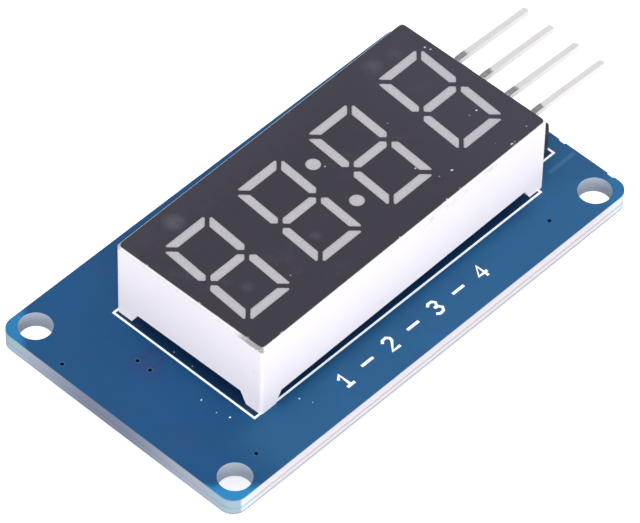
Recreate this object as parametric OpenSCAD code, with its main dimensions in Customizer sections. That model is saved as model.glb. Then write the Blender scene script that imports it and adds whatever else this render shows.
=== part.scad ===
// Four-digit seven-segment display module: a small circuit board with a display in front,
// a driver chip behind, and a four-pin header bent out over one short edge.
// Millimetres. +X runs along the reading direction, +Y up the digits, +Z out of the front.
// The origin is the centre of the four mounting holes, on the board's underside.

/* [Circuit board] */
// Length of the board along X
board_l = 42; // [40:0.5:60]
// Width of the board along Y
board_w = 23.6; // [19:0.2:36]
// Thickness of the board
board_t = 1.5; // [0.8:0.1:2.4]
// Radius of the board's corners
board_corner_r = 1.2; // [0.3:0.1:2]
// Distance from a mounting hole's centre to the board's short edge
hole_inset_x = 2; // [1.8:0.1:4]
// Distance from a mounting hole's centre to the board's long edge
hole_inset_y = 1.8; // [1.7:0.1:4]
// Diameter of a mounting hole
hole_d = 2.6; // [2:0.1:3.2]
// Diameter of a plated via
via_d = 0.3; // [0.2:0.05:0.5]
// Depth of the nicks that the breaking tabs leave in the short edge by the header
nick_depth = 0.12; // [0.05:0.01:0.3]
// Length of each nick along the edge
nick_l = 0.6; // [0.3:0.1:1]

/* [Display housing] */
// Width of the housing
housing_w = 14.3; // [13.5:0.1:17]
// Housing past the last digit's share of the row, at each end
housing_end = 0.105; // [0.06:0.005:3]
// Height of the display from the board to its dark face
display_h = 7.15; // [6:0.05:10]
// Turn of the display on the board, as it was soldered, in degrees
display_turn = 0.8; // [-1:0.1:1]
// Height of the display's middle above the board's middle line, along Y
display_y = -0.05; // [-0.5:0.01:0.5]
// Thickness of the housing's skirt wall
skirt_t = 0.9; // [0.6:0.05:1.5]
// Radius of the housing's upright corners
housing_corner_r = 0.25; // [0.1:0.05:0.5]
// Bevel round the housing's front edge
front_bevel = 0.08; // [0.02:0.01:0.15]
// Height of the opening between two feet
foot_h = 1.05; // [0.6:0.05:1.5]
// Length of a foot along each side
foot_l = 1.5; // [1:0.1:3]
// Run of the slope at each end of the opening
foot_slope = 0.57; // [0.1:0.01:1]
// Thickness of the dark film on the front
film_t = 0.05; // [0.03:0.01:0.1]
// Rim of housing beside the film, at the left and at the foot
film_near_inset = 0.1; // [0.05:0.01:0.7]
// Rim of housing beside the film, at the right and at the head
film_far_inset = 0.1; // [0.05:0.01:0.7]
// Radius of the film's corners
film_corner_r = 0.4; // [0.1:0.05:0.8]

/* [Digits] */
// Number of digits
digit_count = 4; // [1:1:4]
// Distance from one digit to the next
digit_pitch = 7.52; // [6:0.005:9]
// Width of a digit over its upright segments
digit_w = 4.8; // [3.6:0.05:5.8]
// Height of a digit
digit_h = 9.24; // [7:0.05:11.2]
// Width of a segment
segment_w = 0.77; // [0.5:0.01:1.1]
// Gap between two segments, square to their mitred ends
segment_gap = 0.34; // [0.1:0.01:0.6]
// Radius of a segment's corners
segment_corner_r = 0.12; // [0.02:0.01:0.2]
// Lean of the digits, in degrees
digit_slant = 4.8; // [0:0.1:12]
// Offset of the row of digits from the housing's middle, along X
digits_x = 0.06; // [-0.5:0.01:0.5]
// Offset of the row of digits from the housing's middle, along Y
digits_y = -0.06; // [-0.5:0.01:0.5]
// Diameter of a colon dot
dot_d = 1.16; // [0.6:0.01:1.6]
// Distance from the upper colon dot to the lower one, along Y
dot_spacing = 4.65; // [3:0.01:6]

/* [Inside the display] */
// Thickness of the small board that carries the light-emitting dies
carrier_t = 1; // [0.6:0.1:1.2]
// Height of the carrier board's underside above the circuit board
carrier_z = 1.6; // [1.2:0.1:2]
// Gap between the carrier board and the skirt
carrier_gap = 0.2; // [0.1:0.05:0.4]
// Depth of resin between the carrier board and the cells' floor
resin_over = 0.3; // [0.2:0.05:0.5]
// Depth of resin under the carrier board
resin_under = 0.4; // [0.2:0.05:0.45]
// Width of a light-emitting die
die_w = 0.28; // [0.2:0.01:0.4]
// Height of a light-emitting die
die_h = 0.14; // [0.1:0.01:0.2]

/* [Display pins] */
// Number of pins in a row
pins_per_row = 6; // [4:1:7]
// Distance from one pin to the next
pin_pitch = 2.54; // [2:0.01:2.54]
// Distance between the two rows
pin_row_spacing = 10.16; // [7.62:0.01:11]
// Diameter of a display pin
pin_d = 0.5; // [0.4:0.02:0.6]
// Diameter of a display pin's plated hole
pin_hole_d = 0.9; // [0.8:0.05:1.1]
// Length of a display pin under the board
pin_tail = 1.5; // [1:0.1:1.9]

/* [Header] */
// Number of header pins
header_count = 4; // [2:1:6]
// Distance from one header pin to the next
header_pitch = 2.54; // [2:0.01:2.54]
// Distance from the header's holes to the board's short edge
header_inset = 2.52; // [1.4:0.01:4]
// Offset of the header from the board's middle line
header_y = 0.1; // [-0.3:0.01:0.3]
// Width of the insulator
insulator_w = 2.54; // [2:0.01:3]
// Height of the insulator
insulator_h = 2.54; // [1.5:0.01:3]
// Corner chamfer of each cell of the insulator
insulator_chamfer = 0.4; // [0.1:0.05:0.7]
// Gap between the insulator and the display
insulator_gap = 0.66; // [0.2:0.01:1]
// Side of a header pin's square section
header_pin_w = 0.5; // [0.4:0.01:0.64]
// Height of the pins' level run above the board's front
header_run_z = 3.6; // [3.4:0.05:5]
// Inside radius of a header pin's bend
header_bend_r = 0.45; // [0.3:0.05:0.7]
// Reach of the pins' tips past the board's short edge
header_reach = 5.8; // [4:0.05:9]
// Droop of the pins' run below the level, in degrees
header_droop = 2.9; // [0:0.1:6]
// Bevel round a pin's tip
header_tip = 0.14; // [0.05:0.01:0.2]
// Diameter of a header pin's plated hole
header_hole_d = 1; // [0.8:0.05:1.1]
// Length of a header pin under the board
header_tail = 1.5; // [1:0.1:1.9]

/* [Driver chip] */
// Width of the chip's body, across its leads
chip_w = 7.5; // [6:0.1:9]
// Length of the chip's body
chip_l = 12.8; // [12.6:0.1:15]
// Height of the chip's body
chip_h = 2.3; // [2.2:0.05:2.6]
// Gap between the chip's body and the board
chip_standoff = 0.15; // [0.05:0.05:0.3]
// Draft of the chip's sides, from the parting line to each face
chip_draft = 0.14; // [0.05:0.01:0.25]
// Number of leads on each side of the chip
chip_side_leads = 10; // [4:1:10]
// Distance from one lead to the next
chip_pitch = 1.27; // [1:0.01:1.27]
// Reach of the leads' toes past the chip's side
lead_reach = 1.4; // [1.05:0.05:2.25]
// Width of a lead
lead_w = 0.42; // [0.3:0.01:0.5]
// Thickness of a lead
lead_t = 0.26; // [0.15:0.01:0.3]
// Length of a lead's foot
lead_foot = 0.85; // [0.4:0.05:1]
// Gap between the chip's toes and the display's first pins
chip_gap = 2.1; // [1.3:0.05:3]
// Offset of the chip from the board's middle line
chip_y = 0.56; // [-1:0.01:1]

/* [Small parts] */
// Length, width and height of a small ceramic capacitor or resistor
small_chip = [1.6, 0.8, 0.8]; // [0.4:0.05:3]
// Height of a resistor, which is flatter than a capacitor
resistor_h = 0.5; // [0.3:0.05:0.7]
// Length, width and height of the supply capacitor
large_chip = [2, 1.25, 1.25]; // [0.6:0.05:3]
// Length of the metal cap at each end of such a part
cap_l = 0.32; // [0.15:0.01:0.5]
// Thickness of that metal cap
cap_t = 0.03; // [0.02:0.01:0.05]
// Bevel along the metal cap's edges
cap_bevel = 0.06; // [0.02:0.01:0.15]
// Distance between neighbouring small parts along Y
small_pitch = 2.2; // [1.6:0.1:3]

/* [Solder] */
// Radius of a pin joint's foot on its pad
joint_r = 0.85; // [0.6:0.01:1]
// Height of a pin joint
joint_h = 0.95; // [0.5:0.05:1.2]
// Thickness of solder and pad under a lead or a metal cap
pad_t = 0.05; // [0.03:0.01:0.1]
// Reach of a pad past the toe of a lead or the end of a cap
pad_reach = 0.4; // [0.2:0.05:0.6]

/* [Hidden] */
// Facets of the drawn circles: every round surface stays a true one in the solids
$fn = 48;
// Overshoot that carries a cut clear through a face
cut = 0.5;
// Points that replace a segment's corner
corner_steps = 3;

header_x = board_l / 2 - header_inset;
housing_l = digit_count * digit_pitch + 2 * housing_end;
display_x = header_x - insulator_w / 2 - insulator_gap - housing_l / 2;
housing_h = display_h - film_t;
film_l = housing_l - film_near_inset - film_far_inset;
film_w = housing_w - film_near_inset - film_far_inset;
film_shift = (film_near_inset - film_far_inset) / 2;
pocket_l = housing_l - 2 * skirt_t;
pocket_w = housing_w - 2 * skirt_t;
carrier_top = carrier_z + carrier_t;
cell_floor = carrier_top + resin_over;
pin_row_l = (pins_per_row - 1) * pin_pitch;
chip_span = chip_w + 2 * lead_reach;
chip_x = display_x - pin_row_l / 2 - chip_gap - chip_span / 2;
chip_row_l = (chip_side_leads - 1) * chip_pitch;
small_x = (display_x + pin_row_l / 2 + header_x) / 2;
// Set-back of a segment's sharp tip from the mitre that two segments share
tip_back = segment_gap / sqrt(2);

// Two vias between the driver chip's leads, and one near each of three board corners
via_places = [
    for (lead = [0, 1]) [chip_x - chip_span / 2 + 1.15, chip_y + chip_pitch * (lead + 0.5)],
    [0.8 - board_l / 2, board_w / 2 - 5.7],
    [4.57 - board_l / 2, 2.2 - board_w / 2],
    [board_l / 2 - 6.54, 2.2 - board_w / 2]
];
// Places of the small parts on the underside: [x, y]
capacitor_places = [[small_x, -1.5 * small_pitch], [small_x, -0.5 * small_pitch]];
resistor_places = [[small_x, 0.5 * small_pitch], [small_x, 1.5 * small_pitch]];
supply_place = [display_x, 0];

// ---- Helpers ----

function unit(v) = v / norm(v);
function along(angle) = [cos(angle), sin(angle)];
function bearing(v) = atan2(v[1], v[0]);
function wrap(angle) = angle > 180 ? angle - 360 : angle < -180 ? angle + 360 : angle;

// The arc that rounds the corner at b, between its neighbours a and c
function corner_arc(a, b, c, r) =
    let (
        half = acos(unit(a - b) * unit(c - b)) / 2,
        middle = b + unit(unit(a - b) + unit(c - b)) * r / sin(half),
        start = bearing(b + unit(a - b) * r / tan(half) - middle),
        stop = bearing(b + unit(c - b) * r / tan(half) - middle)
    )
    [for (i = [0:corner_steps]) middle + r * along(start + wrap(stop - start) * i / corner_steps)];

function rounded(points, r) = [
    for (i = [0:len(points) - 1])
        each corner_arc(points[(i + len(points) - 1) % len(points)], points[i],
                        points[(i + 1) % len(points)], r)
];

function leaning(p) = [p[0] + p[1] * tan(digit_slant), p[1]];
function flipped(points, flip) = [for (p = points) [p[0] * flip[0], p[1] * flip[1]]];

module rounded_slab(l, w, h, r) {
    linear_extrude(h) {
        square([l - 2 * r, w], center = true);
        square([l, w - 2 * r], center = true);
        for (x = [-1, 1], y = [-1, 1])
            translate([x * (l / 2 - r), y * (w / 2 - r)]) circle(r);
    }
}

// Upright pieces in the frame of the display: its middle, on the board's front
module at_display() {
    translate([display_x, display_y, board_t]) rotate([0, 0, display_turn]) children();
}

// Pieces on the underside, drawn standing up and turned over at their place
module on_underside(place) {
    translate([place[0], place[1], 0]) rotate([180, 0, 0]) children();
}

module display_pin_places(rows = [-1, 1]) {
    for (row = rows, i = [0:pins_per_row - 1])
        translate([i * pin_pitch - pin_row_l / 2, row * pin_row_spacing / 2, 0]) children();
}

function header_pin_y(i) = header_y + (i - (header_count - 1) / 2) * header_pitch;

module header_places() {
    for (i = [0:header_count - 1]) translate([header_x, header_pin_y(i), 0]) children();
}

// ---- Circuit board ----

module circuit_board() {
    color([0.17, 0.35, 0.55])
    difference() {
        rounded_slab(board_l, board_w, board_t, board_corner_r);
        for (x = [-1, 1], y = [-1, 1])
            translate([x * (board_l / 2 - hole_inset_x), y * (board_w / 2 - hole_inset_y), -cut])
                cylinder(d = hole_d, h = board_t + 2 * cut);
        translate([display_x, display_y, -cut])
            display_pin_places() cylinder(d = pin_hole_d, h = board_t + 2 * cut);
        translate([0, 0, -cut])
            header_places() cylinder(d = header_hole_d, h = board_t + 2 * cut);
        for (place = via_places)
            translate([place[0], place[1], -cut]) cylinder(d = via_d, h = board_t + 2 * cut);
        for (y = [-5, 2 - board_w / 2])
            translate([board_l / 2 - nick_depth, y - nick_l / 2, -cut])
                cube([cut, nick_l, board_t + 2 * cut]);
    }
}

// ---- Display ----

// Upper bar of a digit, mitred at both ends
function bar_outline() = [
    [-digit_w / 2 + tip_back, digit_h / 2],
    [digit_w / 2 - tip_back, digit_h / 2],
    [digit_w / 2 - tip_back - segment_w, digit_h / 2 - segment_w],
    [-digit_w / 2 + tip_back + segment_w, digit_h / 2 - segment_w]
];

// Middle bar, pointed at both ends
function middle_outline() = [
    for (flip = [1, -1]) each [
        [-flip * (digit_w / 2 - segment_w / 2 - tip_back), 0],
        [-flip * (digit_w / 2 - segment_w - tip_back), flip * segment_w / 2],
        [flip * (digit_w / 2 - segment_w - tip_back), flip * segment_w / 2]
    ]
];

// Upper left upright, mitred at the top and pointed at the bottom
function upright_outline() = [
    [-digit_w / 2, digit_h / 2 - tip_back],
    [-digit_w / 2 + segment_w, digit_h / 2 - tip_back - segment_w],
    [-digit_w / 2 + segment_w, segment_w / 2 + tip_back],
    [-digit_w / 2 + segment_w / 2, tip_back],
    [-digit_w / 2, segment_w / 2 + tip_back]
];

module segment(points) {
    polygon(rounded([for (p = points) leaning(p)], segment_corner_r));
}

module digit_windows() {
    segment(bar_outline());
    segment(flipped(bar_outline(), [1, -1]));
    segment(middle_outline());
    for (x = [-1, 1], y = [-1, 1]) segment(flipped(upright_outline(), [x, y]));
}

function digit_x(i) = (i - (digit_count - 1) / 2) * digit_pitch;
function dot_place(side) = leaning([0, side * dot_spacing / 2]);

// Outline of every lit window, the same in the film, the housing and the resin
module windows() {
    translate([digits_x, digits_y]) {
        for (i = [0:digit_count - 1]) translate([digit_x(i), 0]) digit_windows();
        for (side = [-1, 1]) translate(dot_place(side)) circle(d = dot_d);
    }
}

// Opening between the feet of one pair of sides, which runs through both walls
module foot_opening(side_l, through) {
    half = side_l / 2 - foot_l;
    rotate([90, 0, 0])
        linear_extrude(through + 2 * cut, center = true)
            polygon([[-half - foot_slope * cut / foot_h, -cut], [half + foot_slope * cut / foot_h, -cut],
                     [half - foot_slope, foot_h], [foot_slope - half, foot_h]]);
}

module front_bevel_cut(side_l, offset) {
    translate([0, offset, housing_h])
        rotate([45, 0, 0])
            cube([side_l + 2 * cut, front_bevel * sqrt(2), front_bevel * sqrt(2)], center = true);
}

module display_housing() {
    color([0.93, 0.92, 0.95])
    at_display()
    difference() {
        rounded_slab(housing_l, housing_w, housing_h, housing_corner_r);
        translate([0, 0, -cut])
            rounded_slab(pocket_l, pocket_w, cell_floor + cut, housing_corner_r);
        foot_opening(housing_l, housing_w);
        rotate([0, 0, 90]) foot_opening(housing_w, housing_l);
        translate([0, 0, cell_floor - cut]) linear_extrude(housing_h - cell_floor + 2 * cut) windows();
        for (side = [-1, 1]) {
            front_bevel_cut(housing_l, side * housing_w / 2);
            rotate([0, 0, 90]) front_bevel_cut(housing_w, side * housing_l / 2);
        }
    }
}

module face_film() {
    color([0.28, 0.27, 0.32])
    at_display()
    difference() {
        translate([film_shift, film_shift, housing_h])
            rounded_slab(film_l, film_w, film_t, film_corner_r);
        translate([0, 0, housing_h - cut]) linear_extrude(film_t + 2 * cut) windows();
    }
}

module carrier_blank() {
    translate([0, 0, carrier_z])
        rounded_slab(pocket_l - 2 * carrier_gap, pocket_w - 2 * carrier_gap, carrier_t, housing_corner_r);
}

module display_pin_row(row) {
    translate([0, 0, -board_t - pin_tail])
        display_pin_places([row]) cylinder(d = pin_d, h = carrier_top + board_t + pin_tail);
}

// One die under the middle of every segment and every dot
module dies() {
    bar_y = digit_h / 2 - segment_w / 2;
    upright_x = digit_w / 2 - segment_w / 2;
    translate([digits_x, digits_y, carrier_top])
    linear_extrude(die_h) {
        for (i = [0:digit_count - 1]) translate([digit_x(i), 0]) {
            for (y = [-bar_y, 0, bar_y]) translate(leaning([0, y])) square(die_w, center = true);
            for (x = [-upright_x, upright_x], y = [-digit_h / 4, digit_h / 4])
                translate(leaning([x, y])) square(die_w, center = true);
        }
        for (side = [-1, 1]) translate(dot_place(side)) square(die_w, center = true);
    }
}

// Clear resin, cast into the housing from behind: it fills every cell up to the front
module display_resin() {
    color([0.8, 0.78, 0.82])
    at_display()
    difference() {
        union() {
            translate([0, 0, carrier_z - resin_under])
                rounded_slab(pocket_l, pocket_w, cell_floor - carrier_z + resin_under, housing_corner_r);
            translate([0, 0, cell_floor]) linear_extrude(housing_h - cell_floor) windows();
        }
        carrier_blank();
        display_pin_row(-1);
        display_pin_row(1);
        dies();
    }
}

module led_carrier_board() {
    color([0.85, 0.83, 0.7])
    at_display()
    difference() {
        carrier_blank();
        display_pin_row(-1);
        display_pin_row(1);
    }
}

module led_dies() {
    color([0.75, 0.6, 0.35]) at_display() dies();
}

module display_pins_upper() {
    color([0.78, 0.78, 0.78]) at_display() display_pin_row(1);
}

module display_pins_lower() {
    color([0.78, 0.78, 0.78]) at_display() display_pin_row(-1);
}

// ---- Header ----

// A cell of the insulator: a square with its four corners taken off
module insulator_cell() {
    half_x = insulator_w / 2;
    half_y = header_pitch / 2;
    c = insulator_chamfer;
    polygon([[-half_x, -half_y + c], [-half_x + c, -half_y], [half_x - c, -half_y], [half_x, -half_y + c],
             [half_x, half_y - c], [half_x - c, half_y], [-half_x + c, half_y], [-half_x, half_y - c]]);
}

module header_insulator() {
    color([0.1, 0.1, 0.11])
    difference() {
        translate([0, 0, board_t])
            header_places() linear_extrude(insulator_h) insulator_cell();
        header_places() translate([0, 0, board_t + insulator_h / 2])
            cube([header_pin_w, header_pin_w, insulator_h + 2 * cut], center = true);
    }
}

// A square pin in its own frame: it rises along Z at the origin, bends towards +X and runs out
module bent_pin() {
    w = header_pin_w;
    bend_mid_r = header_bend_r + w / 2;
    rise = board_t + header_run_z - bend_mid_r;
    turn = 90 + header_droop;
    run = (board_l / 2 + header_reach - header_x - bend_mid_r * (1 + sin(header_droop))) / cos(header_droop);
    translate([-w / 2, -w / 2, -header_tail]) cube([w, w, header_tail + rise]);
    translate([bend_mid_r, 0, rise]) {
        rotate([-90, 0, 0])
            rotate([0, 0, 180])
                rotate_extrude(angle = turn)
                    translate([bend_mid_r, 0]) square(w, center = true);
        rotate([0, turn - 90, 0]) pin_run(run, bend_mid_r);
    }
}

// Straight run of a pin, with a four-sided point cut on its tip
module pin_run(l, height) {
    w = header_pin_w;
    translate([0, -w / 2, height - w / 2])
    difference() {
        cube([l, w, w]);
        for (quarter = [0:3])
            translate([l, w / 2, w / 2])
                rotate([quarter * 90, 0, 0])
                    translate([0, 0, w / 2])
                        rotate([0, 30, 0])
                            cube([4 * header_tip, 2 * w, 2 * header_tip], center = true);
    }
}

module header_pin(i) {
    color([0.8, 0.79, 0.78])
    if (i <= header_count) translate([header_x, header_pin_y(i - 1), 0]) bent_pin();
}

// ---- Driver chip ----

// Moulded body with draft above and below its parting line, and a dimple by its first lead
module driver_chip_body() {
    color([0.12, 0.12, 0.13])
    on_underside([chip_x, chip_y])
    translate([0, 0, chip_standoff])
    difference() {
        intersection() {
            rotate([90, 0, 0]) linear_extrude(chip_l, center = true) drafted_profile(chip_w);
            rotate([90, 0, 90]) linear_extrude(chip_w, center = true) drafted_profile(chip_l);
        }
        translate([1.1 - chip_w / 2, 1.1 - chip_l / 2, chip_h - 0.1]) cylinder(d = 0.9, h = cut);
    }
}

module drafted_profile(w) {
    polygon([[chip_draft - w / 2, 0], [w / 2 - chip_draft, 0], [w / 2, chip_h / 2],
             [w / 2 - chip_draft, chip_h], [chip_draft - w / 2, chip_h], [-w / 2, chip_h / 2]]);
}

// Side view of one lead, from its root in the body down to its foot
module lead_profile() {
    root = chip_w / 2 - 0.02;
    toe = chip_span / 2;
    shoulder = chip_w / 2 + 0.3;
    heel = toe - lead_foot;
    top = chip_standoff + chip_h / 2 + lead_t / 2;
    polygon([[root, top], [shoulder + lead_t / 2, top], [heel + lead_t, pad_t + lead_t],
             [toe, pad_t + lead_t], [toe, pad_t], [heel, pad_t],
             [shoulder - lead_t / 2, top - lead_t], [root, top - lead_t]]);
}

module chip_lead_places() {
    for (side = [0, 180], i = [0:chip_side_leads - 1])
        rotate([0, 0, side]) translate([0, i * chip_pitch - chip_row_l / 2, 0]) children();
}

module driver_chip_leads() {
    color([0.75, 0.75, 0.76])
    on_underside([chip_x, chip_y])
    difference() {
        chip_lead_places()
            rotate([90, 0, 0]) linear_extrude(lead_w, center = true) lead_profile();
        translate([0, 0, chip_standoff])
            rotate([90, 0, 0]) linear_extrude(chip_l, center = true) drafted_profile(chip_w);
    }
}

// ---- Small parts ----

// Ceramic block without its metal caps, at the height where its solder lifts it
module chip_block(size) {
    inner = [size[0] - 2 * cap_l, size[1] - 2 * cap_t, size[2] - 2 * cap_t];
    translate([0, 0, pad_t + size[2] / 2]) cube(inner, center = true);
}

// Metal caps of such a part: a turned square takes their long edges off
module chip_caps(size) {
    diamond = (size[1] + size[2]) / sqrt(2) - cap_bevel;
    for (side = [-1, 1])
        translate([side * (size[0] - cap_l) / 2, 0, pad_t + size[2] / 2])
            intersection() {
                cube([cap_l, size[1], size[2]], center = true);
                rotate([45, 0, 0]) cube([cap_l, diamond, diamond], center = true);
            }
}

module capacitor_bodies() {
    color([0.66, 0.52, 0.38]) {
        for (place = capacitor_places) on_underside(place) chip_block(small_chip);
        on_underside(supply_place) chip_block(large_chip);
    }
}

module capacitor_caps() {
    color([0.8, 0.8, 0.8]) {
        for (place = capacitor_places) on_underside(place) chip_caps(small_chip);
        on_underside(supply_place) chip_caps(large_chip);
    }
}

function resistor_size() = [small_chip[0], small_chip[1], resistor_h];

module resistor_bodies() {
    color([0.1, 0.1, 0.1])
    for (place = resistor_places) on_underside(place) chip_block(resistor_size());
}

module resistor_caps() {
    color([0.8, 0.8, 0.8])
    for (place = resistor_places) on_underside(place) chip_caps(resistor_size());
}

// ---- Solder ----

// Joint of a pin: a hollow-sided cone on the underside and the plated hole's filling
module pin_joint(bore_d, neck_r) {
    steps = 6;
    swoop = joint_r - neck_r;
    rotate_extrude()
        polygon(concat(
            [[0, board_t], [bore_d / 2, board_t], [bore_d / 2, 0], [joint_r, 0]],
            [for (i = [1:steps])
                [joint_r - swoop * sin(90 * i / steps), -joint_h * (1 - cos(90 * i / steps))]],
            [[0, -joint_h]]));
}

module display_solder() {
    color([0.7, 0.7, 0.71])
    difference() {
        translate([display_x, display_y, 0]) display_pin_places() pin_joint(pin_hole_d, pin_d * 0.75);
        at_display() display_pin_row(-1);
        at_display() display_pin_row(1);
    }
}

module header_solder() {
    color([0.7, 0.7, 0.71])
    difference() {
        header_places() pin_joint(header_hole_d, header_pin_w * 0.8);
        header_places() translate([0, 0, board_t / 2])
            cube([header_pin_w, header_pin_w, board_t + 2 * (joint_h + cut)], center = true);
    }
}

// Pad and fillet at the toe of a flat terminal that ends at x, with the part's metal above it
module flat_joint(x, inner, w, fillet_h) {
    rotate([90, 0, 0])
        linear_extrude(w, center = true)
            polygon([[inner, 0], [x + pad_reach, 0], [x + pad_reach, pad_t], [x, pad_t + fillet_h],
                     [x, pad_t], [inner, pad_t]]);
}

module chip_solder() {
    color([0.72, 0.72, 0.73])
    on_underside([chip_x, chip_y])
    chip_lead_places()
        flat_joint(chip_span / 2, chip_span / 2 - lead_foot, lead_w + 0.2, lead_t * 0.9);
}

module chip_pads(size) {
    for (side = [0, 180])
        rotate([0, 0, side])
            flat_joint(size[0] / 2, size[0] / 2 - cap_l, size[1] + 0.1, size[2] * 0.5);
}

module small_part_solder() {
    color([0.72, 0.72, 0.73]) {
        for (place = capacitor_places) on_underside(place) chip_pads(small_chip);
        for (place = resistor_places) on_underside(place) chip_pads(resistor_size());
        on_underside(supply_place) chip_pads(large_chip);
    }
}

circuit_board();
display_housing();
face_film();
display_resin();
led_carrier_board();
led_dies();
display_pins_upper();
display_pins_lower();
header_insulator();
header_pin(1);  // header_pin_1
header_pin(2);  // header_pin_2
header_pin(3);  // header_pin_3
header_pin(4);  // header_pin_4
driver_chip_body();
driver_chip_leads();
capacitor_bodies();
capacitor_caps();
resistor_bodies();
resistor_caps();
display_solder();
header_solder();
chip_solder();
small_part_solder();
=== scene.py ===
"""Looks of a four-digit seven-segment display module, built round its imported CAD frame.

Lengths in the fields are millimetres unless they say otherwise; meshes are made in metres.
A Span gives where a fade starts and where it ends, either way round.
"""

import logging
import math
from collections.abc import Sequence
from dataclasses import dataclass, field
from enum import Enum

import bmesh
import bpy
from mathutils import Matrix, Vector


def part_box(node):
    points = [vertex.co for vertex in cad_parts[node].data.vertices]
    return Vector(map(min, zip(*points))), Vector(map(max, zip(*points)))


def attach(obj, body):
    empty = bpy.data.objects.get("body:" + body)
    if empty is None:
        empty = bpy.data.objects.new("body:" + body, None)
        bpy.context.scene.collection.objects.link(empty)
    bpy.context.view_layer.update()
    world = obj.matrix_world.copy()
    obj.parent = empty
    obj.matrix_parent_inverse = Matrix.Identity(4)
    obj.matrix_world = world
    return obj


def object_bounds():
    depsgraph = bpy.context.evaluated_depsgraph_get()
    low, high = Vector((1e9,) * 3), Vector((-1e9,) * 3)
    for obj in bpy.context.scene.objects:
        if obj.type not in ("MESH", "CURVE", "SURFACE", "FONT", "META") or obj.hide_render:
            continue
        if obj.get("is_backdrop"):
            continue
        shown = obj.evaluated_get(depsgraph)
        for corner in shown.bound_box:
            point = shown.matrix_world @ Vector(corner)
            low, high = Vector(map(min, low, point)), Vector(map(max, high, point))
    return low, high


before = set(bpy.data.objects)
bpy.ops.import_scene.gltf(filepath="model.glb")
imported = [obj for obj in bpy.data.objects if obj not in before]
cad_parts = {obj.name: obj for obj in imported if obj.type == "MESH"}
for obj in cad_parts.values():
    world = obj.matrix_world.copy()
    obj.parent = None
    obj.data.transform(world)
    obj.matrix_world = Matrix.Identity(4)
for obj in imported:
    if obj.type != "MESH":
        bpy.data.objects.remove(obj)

LOG = logging.getLogger("display_module")
MM = 0.001

Colour = tuple[float, float, float, float]
Point = tuple[float, float]
Place = tuple[float, float, float]
Span = tuple[float, float]
Stroke = list[Point]
Outline = tuple[Point, Point]
Spots = tuple[tuple[Point, float], ...]
Socket = bpy.types.NodeSocket
Material = bpy.types.Material
Mesh = bpy.types.Mesh
WHITE: Colour = (1.0, 1.0, 1.0, 1.0)


def colour(code: str) -> Colour:
    """Turns a display colour into the linear one that a shader takes.

    Args:
        code: six hexadecimal digits, red first.

    Returns:
        The linear colour with full alpha.
    """
    parts = [int(code[i : i + 2], 16) / 255 for i in (0, 2, 4)]
    red, green, blue = (
        c / 12.92 if c <= 0.04045 else ((c + 0.055) / 1.055) ** 2.4 for c in parts
    )
    return red, green, blue, 1.0


def node_box(node: str) -> tuple[Vector, Vector]:
    """Gives the lowest and highest corner of a CAD node in millimetres."""
    low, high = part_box(node)
    return low / MM, high / MM


BOARD_HIGH = node_box("circuit_board")[1]
BOARD_TOP = BOARD_HIGH.z
FILM_MIDDLE = sum(node_box("face_film"), Vector()) / 2
HOUSING_LEFT = node_box("display_housing")[0].x
RIM = node_box("display_housing")[1].z

DISPLAY_OUTLINE: Outline = ((-14.17, -7.25), (16.1, 6.89))
HEADER_OUTLINE: Outline = ((17.21, -5.32), (19.66, 5.42))
CHIP_OUTLINE: Outline = ((-15.3, -5.9), (-9.1, 7.0))


class Face(Enum):
    """The two faces of the circuit board that carry print and copper."""

    FRONT = "front"
    BACK = "back"

    def over(self, lift: float) -> float:
        """Gives the height that lies a lift outside the face."""
        return BOARD_TOP + lift if self is Face.FRONT else -lift


# ---- Shader building ----


class Nodes:
    """A node tree that is filled one node at a time."""

    def __init__(self, tree: bpy.types.NodeTree) -> None:
        """Takes a tree over and empties it."""
        self.tree = tree
        tree.nodes.clear()

    def add(self, kind: str, inputs: dict | None = None, **settings: object) -> bpy.types.Node:
        """Adds a node and feeds it.

        Args:
            kind: the node's type.
            inputs: value or socket for each input, by name or by number.
            settings: the node's own properties.

        Returns:
            The new node.
        """
        node = self.tree.nodes.new(kind)
        for key, value in settings.items():
            setattr(node, key, value)
        for key, value in (inputs or {}).items():
            self.feed(node.inputs[key], value)
        return node

    def out(self, kind: str, inputs: dict | None = None, **settings: object) -> Socket:
        """Adds a node, as add does, and gives its first output."""
        return self.add(kind, inputs, **settings).outputs[0]

    def feed(self, socket: Socket, value: object) -> None:
        """Links a socket to another, or sets its value.

        Args:
            socket: the input that is fed.
            value: the other socket, or the value.
        """
        if isinstance(value, Socket):
            self.tree.links.new(value, socket)
        else:
            socket.default_value = value


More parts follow.
